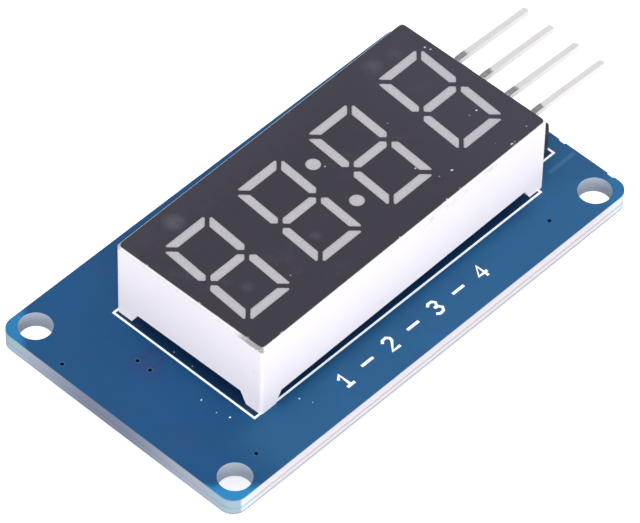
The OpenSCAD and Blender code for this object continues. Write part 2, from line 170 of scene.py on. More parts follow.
class Shader(Nodes):
    """A material on Object coordinates in millimetres."""

    def __init__(self, name: str) -> None:
        """Makes the material with a Principled surface and its coordinates.

        Args:
            name: the finish's name.
        """
        self.material = bpy.data.materials.new(name)
        self.material.use_nodes = True
        super().__init__(self.material.node_tree)
        self.surface = self.add("ShaderNodeBsdfPrincipled")
        self.add("ShaderNodeOutputMaterial", {"Surface": self.surface.outputs["BSDF"]})
        place, scale = self.add("ShaderNodeTexCoord").outputs["Object"], (1 / MM, 1 / MM, 1 / MM)
        self.place = self.out("ShaderNodeMapping", {"Vector": place, "Scale": scale})
        axes = self.add("ShaderNodeSeparateXYZ", {"Vector": self.place})
        self.x, self.y, self.z = (axes.outputs[i] for i in range(3))

    def math(self, operation: str, first: object, second: object = 0.0) -> Socket:
        """Gives the result of one sum on two values or sockets."""
        return self.out("ShaderNodeMath", {0: first, 1: second}, operation=operation)

    def both(self, first: object, second: object) -> Socket:
        """Gives the product of two masks, or a mask at a share of its strength."""
        return self.math("MULTIPLY", first, second)

    def noise(
        self, scale: float, detail: float = 3.0, roughness: float = 0.5, stretch: Place = (1, 1, 1)
    ) -> Socket:
        """Gives a field of noise.

        Args:
            scale: waves to a millimetre.
            detail: octaves of finer noise.
            roughness: how strong those are.
            stretch: further scale along each axis.

        Returns:
            The noise, about 0.5 on average.
        """
        at = self.place
        if stretch != (1, 1, 1):
            at = self.out("ShaderNodeMapping", {"Vector": at, "Scale": stretch})
        inputs = {"Vector": at, "Scale": scale, "Detail": detail, "Roughness": roughness}
        return self.add("ShaderNodeTexNoise", inputs).outputs["Fac"]

    def sway(self, noise: Socket, reach: float) -> Socket:
        """Gives a noise's swing to either side of its average, over a reach."""
        return self.both(self.math("SUBTRACT", noise, 0.5), reach)

    def span(self, mask: object, low: float, high: float) -> Socket:
        """Gives a value that goes from low to high as a mask goes from 0 to 1."""
        return self.out("ShaderNodeMapRange", {"Value": mask, "To Min": low, "To Max": high})

    def step(self, value: object, start: float, end: float) -> Socket:
        """Gives a smooth mask.

        Args:
            value: what it depends on.
            start: where it is 0.
            end: where it is 1, on either side.

        Returns:
            The mask.
        """
        inputs = {"Value": value, "From Min": start, "From Max": end}
        return self.out("ShaderNodeMapRange", inputs, interpolation_type="SMOOTHSTEP")

    def band(self, value: object, rise: Span, fall: Span) -> Socket:
        """Gives a mask that is 1 between the end of a rise and the end of a fall."""
        return self.both(self.step(value, *rise), self.step(value, *fall))

    def near(self, at: Point, radius: float, soft: float) -> Socket:
        """Gives a mask that is 1 round a point of the board's plane.

        Args:
            at: the point.
            radius: where the mask has fallen to a half.
            soft: width of its fading edge.

        Returns:
            The mask.
        """
        across = self.math("SUBTRACT", self.x, at[0])
        along = self.math("SUBTRACT", self.y, at[1])
        squares = self.math("ADD", self.both(across, across), self.both(along, along))
        return self.step(self.math("SQRT", squares), radius + soft / 2, radius - soft / 2)

    def box(self, outline: Outline, soft: float) -> Socket:
        """Gives a mask that is 1 inside a rectangle of the board's plane.

        Args:
            outline: its corners with the least and the most x and y.
            soft: width of its fading edge.

        Returns:
            The mask.
        """
        sides = [
            self.band(axis, (low - soft, low), (high + soft, high))
            for axis, low, high in zip((self.x, self.y), *outline)
        ]
        return self.both(*sides)

    def mix(self, factor: object, first: object, second: object) -> Socket:
        """Gives a colour between two, first where the factor is 0."""
        node = self.add("ShaderNodeMix", {0: factor, 6: first, 7: second}, data_type="RGBA")
        return node.outputs[2]

    def lay(self, base: object, mask: object, share: float, code: str) -> Socket:
        """Gives a colour with another laid over it at a share, where a mask is 1."""
        return self.mix(self.both(mask, share), base, colour(code))

    def shade(self, base: object, mask: object, low: float, high: float) -> Socket:
        """Gives a colour made darker or lighter by a mask.

        Args:
            base: the colour.
            mask: the mask, from 0 to 1.
            low: brightness where it is 0.
            high: brightness where it is 1.

        Returns:
            The shaded colour.
        """
        level = self.span(mask, low, high)
        tint = base if isinstance(base, Socket) else base[:3]
        return self.out("ShaderNodeVectorMath", {0: tint, "Scale": level}, operation="SCALE")

    def facing(self, axis: int, normal: str = "True Normal") -> Socket:
        """Gives how much the surface looks along an axis, from -1 to 1."""
        geometry = self.add("ShaderNodeNewGeometry")
        return self.add("ShaderNodeSeparateXYZ", {"Vector": geometry.outputs[normal]}).outputs[axis]

    def bump(self, height: Socket, depth: float) -> None:
        """Raises the surface by a field, to a depth in millimetres."""
        raised = self.out("ShaderNodeBump", {"Height": height, "Distance": depth * MM})
        self.feed(self.surface.inputs["Normal"], raised)

    def finish(self, **sockets: object) -> Material:
        """Feeds the surface's sockets and hands over the material.

        Args:
            sockets: value or socket by the socket's name, with _ for a space.

        Returns:
            The material.
        """
        for name, value in sockets.items():
            self.feed(self.surface.inputs[name.replace("_", " ")], value)
        return self.material

    def metal(self, kind: "Metal | PinPlating", base: Socket, lines: Socket) -> Material:
        """Finishes a metal whose fine lines are raised and break its gloss.

        Args:
            kind: the metal.
            base: its colour.
            lines: the field of lines.

        Returns:
            The material.
        """
        self.bump(lines, kind.depth)
        gloss = self.span(lines, kind.roughness - 0.1, kind.roughness + 0.12)
        return self.finish(Base_Color=base, Roughness=gloss, Metallic=kind.metallic)


@dataclass(frozen=True)
class Plastic:
    """A moulded or cast plastic, or an ink: its colour, how it varies, its gloss, and any painted
    glow.
    """

    name: str
    tint: str
    cloud: float = 0.04
    cloud_scale: float = 0.35
    grain: float = 0.004
    grain_scale: float = 9.0
    roughness: float = 0.5
    gloss_swing: float = 0.08
    specular: float = 0.3
    lift: float = 0.0

    def build(self) -> Material:
        """Makes the material: clouded colour, fine grain, uneven gloss, and a painted glow of its
        tint as strong as lift.

        Returns:
            The material.
        """
        s = Shader(self.name)
        cloud = s.noise(self.cloud_scale, 4)
        grain = s.noise(self.grain_scale, 4, 0.6)
        s.bump(grain, self.grain)
        low, high = self.roughness - self.gloss_swing, self.roughness + self.gloss_swing
        return s.finish(
            Base_Color=s.shade(colour(self.tint), cloud, 1 - self.cloud, 1 + self.cloud),
            Roughness=s.span(grain, low, high),
            Specular_IOR_Level=self.specular,
            # A lift above nought is painted light: the surface glows with its own tint.
            Emission_Color=colour(self.tint),
            Emission_Strength=self.lift,
        )


LINE_SHADE: Span = (0.92, 1.06)


@dataclass(frozen=True)
class Metal:
    """A plated or tinned metal: its colour, its tarnish and its fine lines."""

    name: str
    tint: str
    tarnish: str
    tarnish_span: Span = (0.515, 0.74)
    roughness: float = 0.34
    metallic: float = 0.85
    depth: float = 0.004

    def build(self) -> Material:
        """Makes the material: tarnish in patches over a finely lined metal.

        Returns:
            The material.
        """
        s = Shader(self.name)
        patches = s.step(s.noise(1.1, 5, 0.62), *self.tarnish_span)
        lines = s.noise(5.0, 4, 0.6)
        base = s.mix(patches, colour(self.tint), colour(self.tarnish))
        base = s.shade(base, lines, *LINE_SHADE)
        return s.metal(self, base, lines)


@dataclass(frozen=True)
class PinPlating:
    """Tin on a square pin: rolled and sheared faces differ, and its root is darkened with painted
    shade.
    """

    rolled: str = "E1DDDF"
    sheared: str = "DCDADD"
    sheared_side: Span = (0.5, 0.8)
    root_shade: str = "7C7A7C"
    root_shade_rise: Span = (18.8, 18.9)
    root_shade_fall: Span = (20.02, 19.78)
    root_shade_wander: float = 0.4
    rolled_root_shade: float = 0.86
    sheared_root_shade: float = 0.1
    roughness: float = 0.36
    metallic: float = 0.6
    depth: float = 0.004

    def build(self) -> Material:
        """Makes the material: drawn lines along the pin, tone by face, and painted shade at the
        root.

        Returns:
            The material.
        """
        s = Shader("pin_plating")
        sheared = s.step(s.math("ABSOLUTE", s.facing(1)), *self.sheared_side)
        lines = s.noise(4.0, 4, 0.6, (0.15, 3.0, 3.0))
        blotch = s.step(s.noise(1.4, 4, 0.6), 0.5, 0.72)
        base = s.mix(sheared, colour(self.rolled), colour(self.sheared))
        base = s.shade(s.shade(base, lines, *LINE_SHADE), blotch, 1.0, 0.93)
        # Painted shade: a ragged, mottled dark patch at the pin's root next to the display, mostly
        # on the rolled faces.
        ragged = s.math("ADD", s.x, s.sway(s.noise(3.0, 3), self.root_shade_wander))
        root = s.band(ragged, self.root_shade_rise, self.root_shade_fall)
        root = s.both(root, s.span(sheared, self.rolled_root_shade, self.sheared_root_shade))
        root_tone = s.shade(colour(self.root_shade), s.noise(2.2, 4, 0.7), -0.1, 2.1)
        base = s.mix(root, base, root_tone)
        return s.metal(self, base, lines)


@dataclass(frozen=True)
class SolderMask:
    """Blue mask over laminate: copper shows through it lighter, and cut edges are bare."""

    left: str = "175182"
    right: str = "255F8D"
    right_x: Span = (2.0, 20.5)
    front_x: Span = (-18.5, -14.5)
    front_y: Span = (-6.2, -8.6)
    violet: str = "33477C"
    violet_share: float = 0.22
    haze: str = "343C74"
    haze_share: float = 0.42
    haze_soft: float = 1.1
    hazes: Spots = (
        ((-16.3, 2.35), 0.75), ((-16.1, 1.1), 0.65), ((-15.0, 2.2), 0.6),
    )
    # outline, fading edge, colour and share: painted shade under the display, painted shade under
    # the header, a streak
    patches: tuple[tuple[Outline, float, str, float], ...] = (
        (DISPLAY_OUTLINE, 0.06, "10264C", 0.8),
        (HEADER_OUTLINE, 0.06, "10264C", 0.7),
        (((18.0, -6.5), (20.7, -6.32)), 0.16, "5484B4", 0.36),
    )
    corner: str = "2A8CC8"
    tip_reach: Span = (29.6, 30.9)
    tips: tuple[float, float, float] = (0.25, 0.45, 0.25)
    roughness: float = 0.42
    specular: float = 0.16
    edge: str = "E1DDE3"
    shaded_edge: str = "A5AFBF"
    dark_edge: str = "7A8298"
    cool_edge: str = "9CB8C5"
    cool_pale: str = "DFE9F1"
    edge_line: str = "9C9BAD"
    dark_line: str = "6B7086"
    edge_roughness: float = 0.85
    hole: str = "B3BCCB"
    shaded_bore: str = "0A1628"
    outer_share: Span = (0.97, 0.978)
    hole_x: Span = (17.0, 17.5)
    hole_y: Span = (8.0, 8.5)
    left_end: Span = (-20.0, -20.3)
    shade_y: float = 0.8
    shade_reach: Span = (9.5, 1.0)
    corner_reach: Span = (29.4, 31.2)
    ply_rise: Span = (0.5, 0.58)
    ply_fall: Span = (0.74, 0.66)
    ply_wander: float = 0.36

    def build(self) -> Material:
        """Makes the material: mask on the faces, bare laminate on edges and hole walls.

        Returns:
            The material.
        """
        s = Shader("solder_mask")
        cloud, weave = s.noise(0.16, 5, 0.6), s.noise(3.2, 3, 0.5)
        # Painted reflection: the mask is made paler towards the right; it is paler along the front
        # as well.
        front = s.both(s.step(s.y, *self.front_y), s.step(s.x, *self.front_x))
        paler = s.math("MAXIMUM", s.step(s.x, *self.right_x), front)
        mask = s.mix(paler, colour(self.left), colour(self.right))
        mask = s.shade(mask, cloud, 0.86, 1.14)
        drift = s.step(s.noise(0.45, 4, 0.6, (1.0, 0.8, 1.0)), 0.48, 0.7)
        mask = s.lay(mask, drift, self.violet_share, self.violet)
        top = s.step(s.z, BOARD_TOP * 0.4, BOARD_TOP * 0.6)
        for at, radius in self.hazes:
            haze = s.both(s.near(at, radius, self.haze_soft), top)
            mask = s.lay(mask, haze, self.haze_share, self.haze)
        mask = s.mix(self.corners(s), mask, colour(self.corner))
        # Painted shade: the first two patches darken the mask inside the display's and the header's
        # outlines, where shade falls under them.
        for outline, soft, tint, share in self.patches:
            mask = s.lay(mask, s.both(s.box(outline, soft), top), share, tint)
        mask = s.shade(mask, weave, 0.965, 1.035)
        flat = s.step(s.math("ABSOLUTE", s.facing(2)), 0.4, 0.6)
        s.bump(s.math("ADD", s.both(weave, 0.4), s.both(cloud, 0.6)), 0.006)
        return s.finish(
            Base_Color=s.mix(flat, self.edges(s), mask),
            Roughness=s.span(flat, self.edge_roughness, self.roughness),
            Specular_IOR_Level=self.specular,
        )

    def corners(self, s: Shader) -> Socket:
        """Gives the mask of the bright tips outside the mounting holes, free of inner copper.

        Args:
            s: the mask's shader.

        Returns:
            The mask, strongest on the near left tip and weakest on the right ones.
        """
        reach = s.math("ADD", s.math("ABSOLUTE", s.x), s.math("ABSOLUTE", s.y))
        tip = s.step(s.math("ADD", reach, s.sway(s.noise(0.9, 3), 0.7)), *self.tip_reach)
        front, left = s.step(s.y, 0.5, -0.5), s.step(s.x, 0.5, -0.5)
        every, on_left, nearest = self.tips
        more = s.both(s.both(front, left), nearest)
        return s.both(tip, s.math("ADD", s.math("ADD", s.both(left, on_left), more), every))

    def edges(self, s: Shader) -> Socket:
        """Gives the colour of cut edges: pale layered laminate outside, painted greyer in the
        mounting holes and near black in the other bores, both as painted shade.

        Args:
            s: the mask's shader.

        Returns:
            The colour, darker along the middle of the left edge and cooler at the corners.
        """
        across, along = s.math("ABSOLUTE", s.x), s.math("ABSOLUTE", s.y)
        shares = s.both(across, 1 / BOARD_HIGH.x), s.both(along, 1 / BOARD_HIGH.y)
        outer = s.step(s.math("MAXIMUM", *shares), *self.outer_share)
        wall = s.both(s.step(across, *self.hole_x), s.step(along, *self.hole_y))
        # Painted shade: mounting-hole walls are greyer than the outer edges of the same laminate,
        # and the other bores are near black.
        inner = s.mix(wall, colour(self.shaded_bore), colour(self.hole))
        layers = s.noise(2.4, 3, 0.6, (0.25, 0.25, 5.0))
        left = s.step(s.x, *self.left_end)
        off = s.math("ABSOLUTE", s.math("SUBTRACT", s.y, self.shade_y))
        middle = s.step(off, *self.shade_reach)
        shaded = s.mix(middle, colour(self.shaded_edge), colour(self.dark_edge))
        ends = s.step(s.math("ADD", across, along), *self.corner_reach)
        shaded = s.mix(ends, shaded, colour(self.cool_edge))
        pale = s.mix(left, s.mix(ends, colour(self.edge), colour(self.cool_pale)), shaded)
        pale = s.shade(pale, layers, 0.86, 1.12)
        rough = s.sway(s.noise(2.4, 5, 0.8, (1.0, 1.0, 0.1)), self.ply_wander)
        ply = s.band(s.math("ADD", s.z, rough), self.ply_rise, self.ply_fall)
        low = s.step(s.z, 0.2, 0.08)
        high = s.step(s.z, BOARD_TOP - 0.14, BOARD_TOP - 0.04)
        lines = s.math("MAXIMUM", low, s.math("MAXIMUM", s.both(high, 0.7), s.both(ply, 0.6)))
        ink = s.mix(s.both(left, middle), colour(self.edge_line), colour(self.dark_line))
        return s.mix(outer, inner, s.mix(lines, pale, ink))


@dataclass(frozen=True)
class HousingPlastic:
    """White moulded plastic with marks below the rim of its left and near walls."""

    tint: str = "F8F3FA"
    grime: str = "9A8F8B"
    faint: str = "C6C2C6"
    left_x: Span = (HOUSING_LEFT + 0.45, HOUSING_LEFT + 0.3)
    grime_and_shade_z: Span = (RIM - 0.5, RIM - 0.15)
    grime_and_shade_share: float = 0.4
    smear_z: Span = (RIM - 0.55, RIM - 0.3)
    smear_y: Span = (-4.6, -6.0)
    smear_wander: float = 0.35
    smear_share: float = 0.85
    corner_z: Span = (RIM - 0.35, RIM - 0.1)
    corner_y: Span = (6.3, 6.9)
    corner_share: float = 0.75
    scuff_z: Span = (RIM - 1.1, RIM - 0.3)
    scuff_rise: Span = (0.0, 3.0)
    scuff_fall: Span = (14.5, 12.0)
    scuff_side: Span = (-0.7, -0.9)
    scuff_share: float = 0.6
    spot_share: float = 0.16
    specular: float = 0.25

    def build(self) -> Material:
        """Makes the material: matt white with a smear, a faint band of grime and painted shade, a
        dark corner and scuffs.

        Returns:
            The material.
        """
        s = Shader("housing_plastic")
        cloud = s.noise(0.22, 4, 0.55)
        streak = s.noise(1.8, 4, 0.6, (1.0, 1.0, 0.3))
        grain = s.noise(7.0, 3, 0.5)
        base = s.shade(colour(self.tint), cloud, 0.97, 1.02)
        left = s.step(s.x, *self.left_x)
        patchy = s.step(s.noise(0.8, 5, 0.7), 0.42, 0.66)
        # The faint band below the rim of the left wall is partly grime and partly painted shade
        # that stands in for a bevel under the rim.
        band = s.both(s.both(s.step(s.z, *self.grime_and_shade_z), left), patchy)
        base = s.lay(base, band, self.grime_and_shade_share, self.faint)
        run = s.both(s.step(s.y, *self.smear_y), left)
        wavy = s.math("ADD", s.z, s.sway(streak, self.smear_wander))
        near = s.both(s.step(wavy, *self.smear_z), run)
        smear = s.both(near, s.step(s.noise(2.2, 4, 0.7), 0.3, 0.48))
        base = s.lay(base, smear, self.smear_share, self.grime)
        corner = s.both(s.step(s.z, *self.corner_z), s.step(s.y, *self.corner_y))
        base = s.lay(base, s.both(corner, left), self.corner_share, self.grime)
        stretch = s.band(s.x, self.scuff_rise, self.scuff_fall)
        scuff = s.both(s.step(s.z, *self.scuff_z), stretch)
        scuff = s.both(scuff, s.step(s.facing(1, "Normal"), *self.scuff_side))
        scratches = s.step(s.noise(1.6, 5, 0.75, (0.5, 1.0, 1.0)), 0.45, 0.65)
        base = s.lay(base, s.both(scuff, scratches), self.scuff_share, self.faint)
        spots = s.step(s.noise(0.55, 4, 0.6, (1.0, 1.0, 2.0)), 0.66, 0.78)
        base = s.lay(base, spots, self.spot_share, self.grime)
        s.bump(s.math("ADD", s.both(cloud, 0.7), s.both(grain, 0.3)), 0.012)
        rough = s.span(grain, 0.48, 0.62)
        return s.finish(Base_Color=base, Roughness=rough, Specular_IOR_Level=self.specular)


@dataclass(frozen=True)
class FilmPrint:
    """Dark satin film with smudges, pale specks, a drift of colour and a nibbled edge."""

    tint: str = "34333E"
    drift: str = "38323E"
    far: str = "3D3B47"
    far_x: Span = (2.0, 16.0)
    far_y: Span = (3.5, 6.5)
    far_y_share: float = 0.6
    smudge: str = "625F6D"
    smear_share: float = 0.26
    smudge_soft: float = 1.6
    smudges: tuple[tuple[Point, float, float], ...] = (
        ((-9.42, 5.46), 0.62, 0.62), ((-3.24, -2.67), 0.34, 0.36), ((-10.18, -2.54), 0.4, 0.26),
        ((11.71, 5.73), 0.6, 0.36), ((13.7, 5.55), 0.5, 0.2),
    )
    speck: str = "D6D3D8"
    speck_radius: Span = (0.045, 0.075)
    speck_soft: float = 0.04
    specks: Spots = (
        ((15.74, 4.35), 1.0), ((15.89, 3.92), 0.85), ((13.78, -2.62), 1.0),
        ((13.06, -2.59), 0.4), ((8.3, 1.12), 0.4), ((8.18, -5.32), 0.9),
        ((8.26, -5.34), 0.9), ((7.15, -5.1), 0.4), ((15.16, -6.28), 0.5),
        ((12.35, -5.81), 0.2), ((-7.22, -3.99), 0.45), ((2.05, 1.45), 0.7),
        ((6.5, -3.33), 0.9), ((13.1, -6.68), 0.9), ((13.2, -6.7), 0.9),
        ((13.47, -6.69), 0.5), ((5.9, -6.98), 0.9), ((0.86, -7.08), 0.9),
    )
    nibble: str = "C6C3CA"
    nibble_depth: float = 0.3
    nibble_fade: Span = (0.03, -0.01)
    nibble_share: float = 0.85
    half: Point = (15.05, 7.05)
    turn: float = 0.8
    specular: float = 0.22

    def edge(self, s: Shader) -> Socket:
        """Gives the mask of the nibbles along the two near edges of the film.

        Args:
            s: the film's shader.

        Returns:
            The mask.
        """
        across = s.math("SUBTRACT", s.x, FILM_MIDDLE.x)
        along = s.math("SUBTRACT", s.y, FILM_MIDDLE.y)
        cos, sin = math.cos(math.radians(self.turn)), math.sin(math.radians(self.turn))
        foot = s.math("SUBTRACT", s.both(along, cos), s.both(across, sin))
        side = s.math("ADD", s.both(across, cos), s.both(along, sin))
        gaps = s.math("ADD", foot, self.half[1]), s.math("ADD", side, self.half[0])
        ragged = s.both(s.step(s.noise(1.3, 5, 0.75), 0.56, 0.8), self.nibble_depth)
        inward = s.math("SUBTRACT", s.math("MINIMUM", *gaps), ragged)
        return s.step(inward, *self.nibble_fade)

    def build(self) -> Material:
        """Makes the material: mottled dark colour, with gloss that smudges break.

        Returns:
            The material.
        """
        s = Shader("film_print")
        clouds, mottle = s.noise(0.3, 5, 0.6), s.noise(2.6, 4, 0.65)
        base = s.mix(s.step(s.noise(0.24, 3), 0.4, 0.6), colour(self.tint), colour(self.drift))
        upper = s.both(s.step(s.y, *self.far_y), self.far_y_share)
        paler = s.math("MAXIMUM", s.step(s.x, *self.far_x), upper)
        base = s.mix(paler, base, colour(self.far))
        smears = s.step(clouds, 0.58, 0.8)
        base = s.lay(base, smears, self.smear_share, self.smudge)
        for at, radius, share in self.smudges:
            patch = s.both(s.near(at, radius, self.smudge_soft * radius), s.step(mottle, 0.0, 0.6))
            base = s.lay(base, patch, share, self.smudge)
        base = s.shade(base, mottle, 0.88, 1.12)
        small, large = self.speck_radius
        for at, share in self.specks:
            dot = s.near(at, small + (large - small) * share, self.speck_soft)
            base = s.lay(base, dot, share, self.speck)
        base = s.lay(base, self.edge(s), self.nibble_share, self.nibble)
        s.bump(mottle, 0.004)
        rough = s.span(smears, 0.42, 0.6)
        return s.finish(Base_Color=base, Roughness=rough, Specular_IOR_Level=self.specular)


@dataclass(frozen=True)
class MilkyResin:
    """Cast resin that fills the cells: milky, with a fine grain of diffuser."""

    tint: str = "C2BEC7"
    grain_scale: float = 7.0
    grain_shade: Span = (0.5, 1.48)
    roughness: float = 0.5
    specular: float = 0.3

    def build(self) -> Material:
        """Makes the material: grainy milky colour with a soft gloss.

        Returns:
            The material.
        """
        s = Shader("milky_resin")
        grain = s.noise(self.grain_scale, 6, 0.8)
        base = s.shade(colour(self.tint), s.noise(0.5, 2), 0.97, 1.03)
        base = s.shade(base, grain, *self.grain_shade)
        s.bump(grain, 0.006)
        rough = self.roughness
        return s.finish(Base_Color=base, Roughness=rough, Specular_IOR_Level=self.specular)


# ---- Geometry building ----


class NodeRecipe(Nodes):
    """A Geometry Nodes tree, ready to be run on a base mesh and turned into a plain one."""

    def __init__(self, shape: str, material: Material, **sizes: float) -> None:
        """Starts the tree with its geometry socket and a named input for each size.

        Args:
            shape: what it makes.
            material: what that is made of.
            sizes: default of each named input, whole where it isn't a length.
        """
        name = f"{shape}_{material.name}"
        super().__init__(bpy.data.node_groups.new(name, "GeometryNodeTree"))
        self.material = material
        sockets = self.tree.interface
        for way in ("INPUT", "OUTPUT"):
            sockets.new_socket("Geometry", in_out=way, socket_type="NodeSocketGeometry")
        self.keys: dict[str, str] = {}
        for label, value in sizes.items():
            kind = "NodeSocketInt" if isinstance(value, int) else "NodeSocketFloat"
            made = sockets.new_socket(label, in_out="INPUT", socket_type=kind)
            made.default_value = metres(value)
            self.keys[label] = made.identifier
        self.start = self.add("NodeGroupInput").outputs

    def sweep(self, curve: Socket) -> Socket:
        """Runs a flat section, of the inputs Width and Thickness, along a curve.

        Args:
            curve: the curve.

        Returns:
            The ribbon.
        """
        level = self.out("GeometryNodeSetCurveNormal", {"Curve": curve}, mode="Z_UP")
        sides = {"Width": self.start["Width"], "Height": self.start["Thickness"]}
        section = self.out("GeometryNodeCurvePrimitiveQuadrilateral", sides)
        inputs = {"Curve": level, "Profile Curve": section, "Fill Caps": True}
        return self.out("GeometryNodeCurveToMesh", inputs)

    def close(self, shape: Socket) -> None:
        """Ends the tree in Realize Instances and Set Material.

        Args:
            shape: the finished geometry.
        """
        real = self.out("GeometryNodeRealizeInstances", {"Geometry": shape})
        inputs = {"Geometry": real, "Material": self.material}
        self.add("NodeGroupOutput", {0: self.out("GeometryNodeSetMaterial", inputs)})

    def run(self, base: Mesh, **sizes: float) -> bpy.types.Object:
        """Runs the tree on a mesh and keeps the result as a plain piece of the same name.

        Args:
            base: the mesh that the tree starts from.
            sizes: values for the named inputs, as in the constructor.

        Returns:
            The piece, at the origin.
        """
        name = base.name
        piece = place(name, base)
        modifier = piece.modifiers.new(self.tree.name, "NODES")
        modifier.node_group = self.tree
        for label, value in sizes.items():
            modifier[self.keys[label]] = metres(value)
        graph = bpy.context.evaluated_depsgraph_get()
        made = bpy.data.meshes.new_from_object(piece.evaluated_get(graph))
        piece.modifiers.clear()
        piece.data = made
        made.name = name
        seal(made)
        return piece


def metres(size: float) -> float:
    """Turns a length in millimetres into metres, and leaves a whole number as it is."""
    return size if isinstance(size, int) else size * MM


def place(name: str, data: bpy.types.ID) -> bpy.types.Object:
    """Puts a new object with a mesh, a camera or a light in the scene.

    Args:
        name: the object's name.
        data: its mesh, camera or light.

    Returns:
        The object.
    """
    thing = bpy.data.objects.new(name, data)
    bpy.context.scene.collection.objects.link(thing)
    return thing


def seal(mesh: Mesh) -> None:
    """Merges doubled vertices, turns the faces outwards and shades them flat.

    Args:
        mesh: the mesh.
    """
    work = bmesh.new()
    work.from_mesh(mesh)
    bmesh.ops.remove_doubles(work, verts=work.verts, dist=1e-8)
    bmesh.ops.recalc_face_normals(work, faces=work.faces)
    work.to_mesh(mesh)
    work.free()
    mesh.shade_flat()


def dots(name: str, places: list[Place], edges: Sequence[tuple[int, int]] = ()) -> Mesh:
    """Makes a mesh of points, loose or joined by edges.

    Args:
        name: the mesh's name.
        places: the points.
        edges: the numbers of the two points that each edge joins.

    Returns:
        The mesh.
    """
    mesh = bpy.data.meshes.new(name)
    mesh.from_pydata([(x * MM, y * MM, z * MM) for x, y, z in places], edges, [])
    return mesh


def wires(name: str, strokes: list[Stroke], height: float) -> Mesh:
    """Makes a mesh of loose edges from strokes at one height.

    Args:
        name: the mesh's name.
        strokes: the points of each stroke; one that ends where it starts is closed.
        height: z of them all.

    Returns:
        The mesh.
    """
    points: list[Place] = []
    edges: list[tuple[int, int]] = []
    for stroke in strokes:
        first = len(points)
        closed = stroke[0] == stroke[-1]
        own = stroke[:-1] if closed else stroke
        points += [(x, y, height) for x, y in own]
        edges += [(first + i, first + i + 1) for i in range(len(own) - 1)]
        if closed:
            edges.append((first + len(own) - 1, first))
    return dots(name, points, edges)


def spread(first: float, last: float, count: int) -> list[float]:
    """Gives evenly spaced values from first to last."""
    return [first + (last - first) * i / (count - 1) for i in range(count)]


def elbow(start: Point, end: Point) -> Stroke:
    """Gives a stroke that runs level from start and comes to end at 45 degrees.

    Args:
        start: its first point.
        end: its last point.

    Returns:
        The stroke.
    """
    rise = abs(end[1] - start[1])
    knee = end[0] - math.copysign(rise, end[0] - start[0])
    return [start, (knee, start[1]), end]


def ribbon_recipe(material: Material) -> NodeRecipe:
    """Builds the tree that runs a flat ribbon along every stroke.

    Args:
        material: the ribbon's material.

    Returns:
        The recipe, with inputs Width and Thickness.
    """
    recipe = NodeRecipe("ribbon", material, Width=0.2, Thickness=0.02)
    path = recipe.out("GeometryNodeMeshToCurve", {"Mesh": recipe.start["Geometry"]})
    recipe.close(recipe.sweep(path))
    return recipe


def ring_recipe(material: Material) -> NodeRecipe:
    """Builds the tree that lays a flat ring at every point.

    Args:
        material: the rings' material.

    Returns:
        The recipe, with inputs Radius, Width and Thickness.
    """
    recipe = NodeRecipe("ring", material, Radius=0.4, Width=0.2, Thickness=0.02)
    inputs = {"Resolution": 28, "Radius": recipe.start["Radius"]}
    ring = recipe.sweep(recipe.out("GeometryNodeCurvePrimitiveCircle", inputs))
    inputs = {"Points": recipe.start["Geometry"], "Instance": ring}
    recipe.close(recipe.out("GeometryNodeInstanceOnPoints", inputs))
    return recipe


def fleck_recipe(material: Material) -> NodeRecipe:
    """Builds the tree that drops a flat crumb at every point, each turned its own way.

    Args:
        material: the crumbs' material.

    Returns:
        The recipe, with inputs Size and Seed; the attribute share scales each crumb.
    """
    recipe = NodeRecipe("fleck", material, Size=0.06, Seed=3)
    inputs = {"Radius": recipe.start["Size"], "Subdivisions": 1}
    crumb = recipe.out("GeometryNodeMeshIcoSphere", inputs)
    flat = recipe.out("GeometryNodeTransform", {"Geometry": crumb, "Scale": (1.5, 0.8, 0.3)})
    inputs = {"Max": (0.0, 0.0, math.pi), "Seed": recipe.start["Seed"]}
    turn = recipe.add("FunctionNodeRandomValue", inputs, data_type="FLOAT_VECTOR")
    spin = recipe.out("FunctionNodeEulerToRotation", {"Euler": turn.outputs["Value"]})
    grow = recipe.add("GeometryNodeInputNamedAttribute", {"Name": "share"})
    inputs = {"Points": recipe.start["Geometry"], "Instance": flat}
    inputs |= {"Rotation": spin, "Scale": grow.outputs["Attribute"]}
    recipe.close(recipe.out("GeometryNodeInstanceOnPoints", inputs))
    return recipe


class SubAssembly:
    """What every sub-assembly does: dress its CAD nodes and attach its own pieces to the module."""

    def dress(self, material: Material, *nodes: str) -> None:
        """Gives CAD nodes a material, in every slot they have.

        Args:
            material: the material.
            nodes: the nodes' names.
        """
        for node in nodes:
            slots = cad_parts[node].data.materials
            for i in range(len(slots)):
                slots[i] = material
            if not slots:
                slots.append(material)
            LOG.info("dressed %s with %s", node, material.name)

    def keep(self, piece: bpy.types.Object, slot: str) -> None:
        """Makes a piece ride on the module.

        Args:
            piece: the finished piece.
            slot: not used.
        """
        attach(piece, "root")
        LOG.info("made %s, %d faces", piece.name, len(piece.data.polygons))


# ---- Sub-assemblies ----


NUMERALS: dict[int, list[Stroke]] = {
    1: [[(0.12, 0.72), (0.42, 1.0), (0.42, 0.0)], [(0.12, 0.0), (0.72, 0.0)]],
    2: [[(0.05, 0.8), (0.2, 0.97), (0.5, 0.99), (0.66, 0.8), (0.62, 0.6), (0.06, 0.0), (0.7, 0.0)]],
    3: [
        [(0.06, 0.85), (0.25, 1.0), (0.52, 0.98), (0.66, 0.78), (0.52, 0.56), (0.3, 0.52)],
        [(0.3, 0.52), (0.56, 0.47), (0.7, 0.25), (0.54, 0.03), (0.25, 0.0), (0.05, 0.15)],
    ],
    4: [[(0.52, 0.0), (0.52, 1.0), (0.04, 0.32), (0.74, 0.32)]],
}


@dataclass(frozen=True)
class Line:
    """A kind of flat line on the board: its name, slot, sizes and finish."""

    kind: str
    slot: str
    width: float
    height: float
    finish: Plastic


